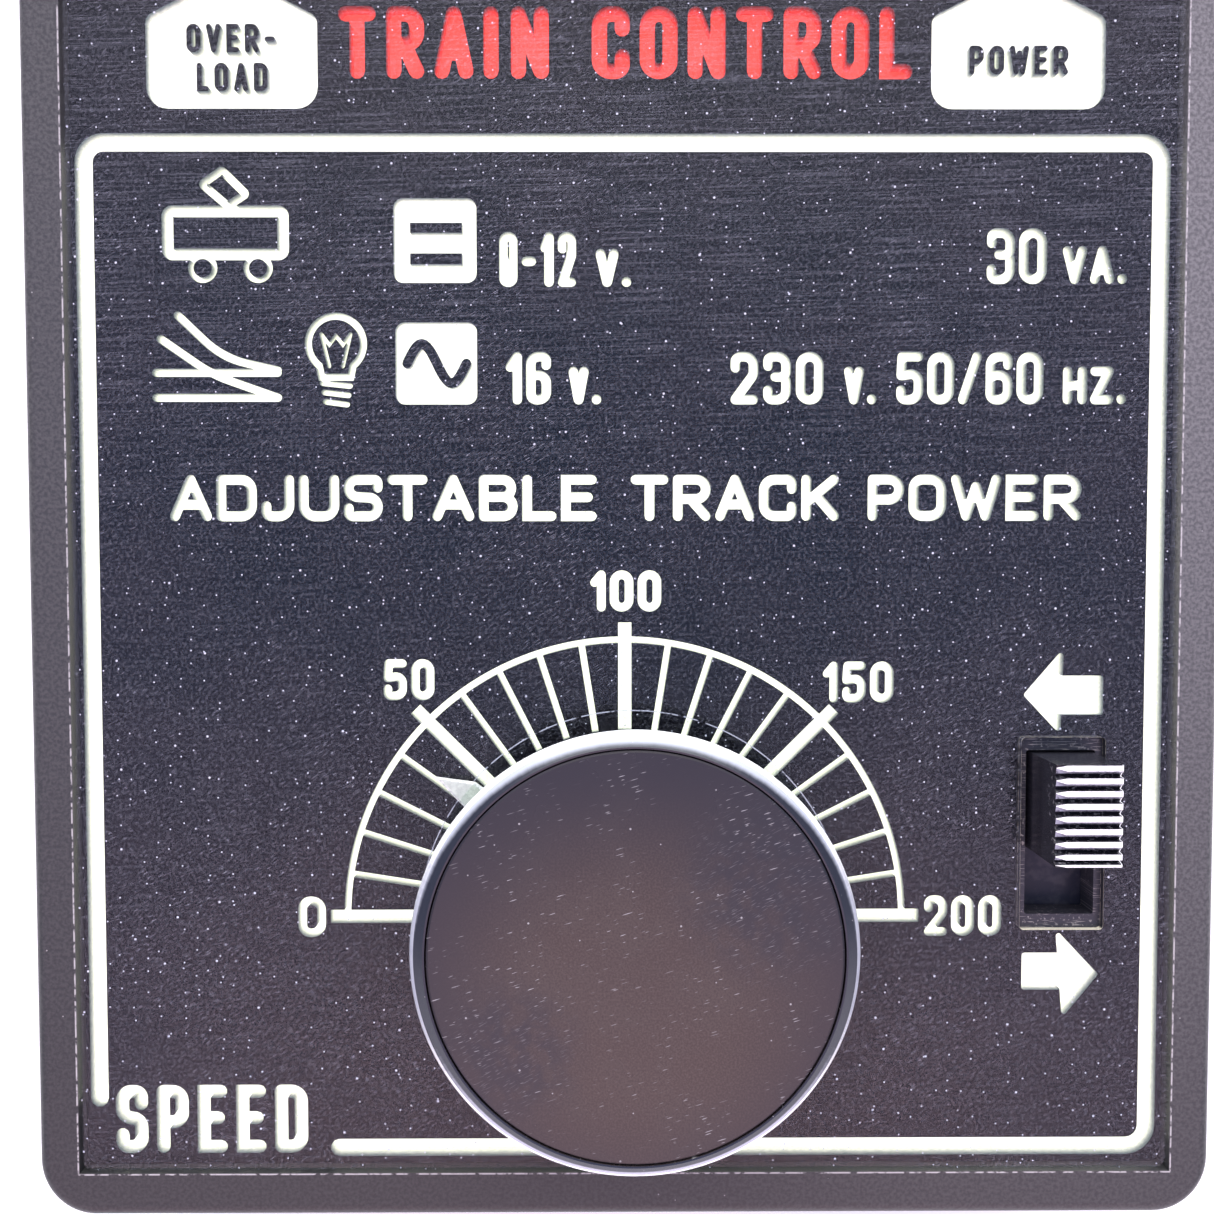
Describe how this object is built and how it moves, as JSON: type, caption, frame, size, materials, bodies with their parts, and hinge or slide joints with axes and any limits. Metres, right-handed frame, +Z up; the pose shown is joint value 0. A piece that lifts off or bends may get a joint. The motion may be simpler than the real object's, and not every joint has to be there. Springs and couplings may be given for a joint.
{
  "type": "model railway speed controller",
  "caption": "Sloped desk transformer housing with a clear-rimmed speed knob over a 0 to 200 scale, a slide switch for direction and lamp windows.",
  "frame": {"origin": "on the table top, under the middle of the whole unit's bounding box", "axes": "+Z up, -Y towards the user, +X to the user's right; the control panel slopes up from the front by 15 degrees"},
  "size_m": [0.122, 0.152, 0.0743],
  "materials": {
    "base_black": "plain moulded ABS",
    "board_green": "paper-phenolic circuit board",
    "can_steel": "plated steel sheet",
    "cap_black": "polished black",
    "capacitor_blue": "blue sleeve",
    "carrier_white": "natural nylon",
    "casing_black": "fine leather-grain moulded ABS",
    "clear_knob": "polished clear acrylic",
    "clear_plate": "polished clear acrylic, painted black and white behind",
    "collar_black": "moulded plastic",
    "collar_red": "moulded plastic",
    "collar_white": "moulded plastic",
    "collar_yellow": "moulded plastic",
    "contact_brass": "tinned brass",
    "core_iron": "varnished silicon-steel laminations",
    "cutout_red": "moulded plastic",
    "epoxy_black": "epoxy",
    "foot_rubber": "matt rubber",
    "former_nylon": "nylon",
    "frame_black": "blackened steel",
    "fuse_glass": "glass tube",
    "gland_rubber": "matt rubber",
    "housing_black": "black bakelite",
    "lamp_clear": "clear glass",
    "lamp_red": "red-dipped glass",
    "nut_brass": "nickelled brass",
    "phenolic_brown": "phenolic board",
    "pointer_grey": "satin light grey",
    "resistor_tan": "lacquered ceramic",
    "screw_steel": "zinc-plated steel",
    "shaft_steel": "turned steel",
    "shroud_white": "white plastic",
    "sink_aluminium": "extruded aluminium",
    "slider_black": "black moulded plastic, ridges worn light",
    "winding_copper": "enamelled copper wire",
    "zinc_grey": "die-cast zinc"
  },
  "bodies": {
    "housing": {"ac_left_socket_collar": "collar_yellow", "ac_left_socket_sleeve": "nut_brass", "ac_right_socket_collar": "collar_white", "ac_right_socket_sleeve": "nut_brass", "base_cover": "base_black", "board_screws": "screw_steel", "casing_screws": "screw_steel", "circuit_board": "board_green", "coil_former": "former_nylon", "control_bush": "zinc_grey", "control_can": "can_steel", "control_nut": "nut_brass", "control_terminals": "contact_brass", "control_track": "phenolic_brown", "control_washer": "screw_steel", "dc_left_socket_collar": "collar_red", "dc_left_socket_sleeve": "nut_brass", "dc_right_socket_collar": "collar_black", "dc_right_socket_sleeve": "nut_brass", "face_plate": "clear_plate", "fuse_holder": "housing_black", "gland_clip": "housing_black", "heat_sink": "sink_aluminium", "mains_fuse": "fuse_glass", "mains_gland": "gland_rubber", "mains_terminal_block": "carrier_white", "overload_cutout": "cutout_red", "overload_lamp_bulb": "lamp_red", "overload_lamp_holder": "contact_brass", "overload_lamp_shroud": "shroud_white", "power_lamp_bulb": "lamp_clear", "power_lamp_holder": "contact_brass", "power_lamp_shroud": "shroud_white", "power_transistor": "can_steel", "primary_winding": "winding_copper", "rectifier_bridge": "epoxy_black", "resistors": "resistor_tan", "rubber_feet": "foot_rubber", "secondary_winding": "winding_copper", "smoothing_capacitor": "capacitor_blue", "switch_base": "phenolic_brown", "switch_frame": "frame_black", "switch_housing": "housing_black", "switch_screws": "screw_steel", "switch_terminals": "contact_brass", "terminal_screws": "nut_brass", "transformer_bolts": "screw_steel", "transformer_core": "core_iron", "transistor_screws": "screw_steel", "upper_casing": "casing_black"},
    "knob": {"speed_knob": "clear_knob", "knob_cap": "cap_black", "knob_pointer": "pointer_grey", "control_shaft": "shaft_steel", "control_wiper": "contact_brass"},
    "slider": {"direction_slider": "slider_black", "contact_carrier": "carrier_white", "sliding_contacts": "contact_brass"}
  },
  "joints": [
    {"name": "speed_turn", "type": "hinge", "parent": "housing", "child": "knob", "pos_m": [0.00075, -0.04649, 0.04791], "axis": [0, -0.2588, 0.9659], "range_deg": [-142.5, 37.5]},
    {"name": "direction_slide", "type": "slide", "parent": "housing", "child": "slider", "axis": [0, 0.9659, 0.2588], "range_m": [-0.0067, 0]}
  ]
}
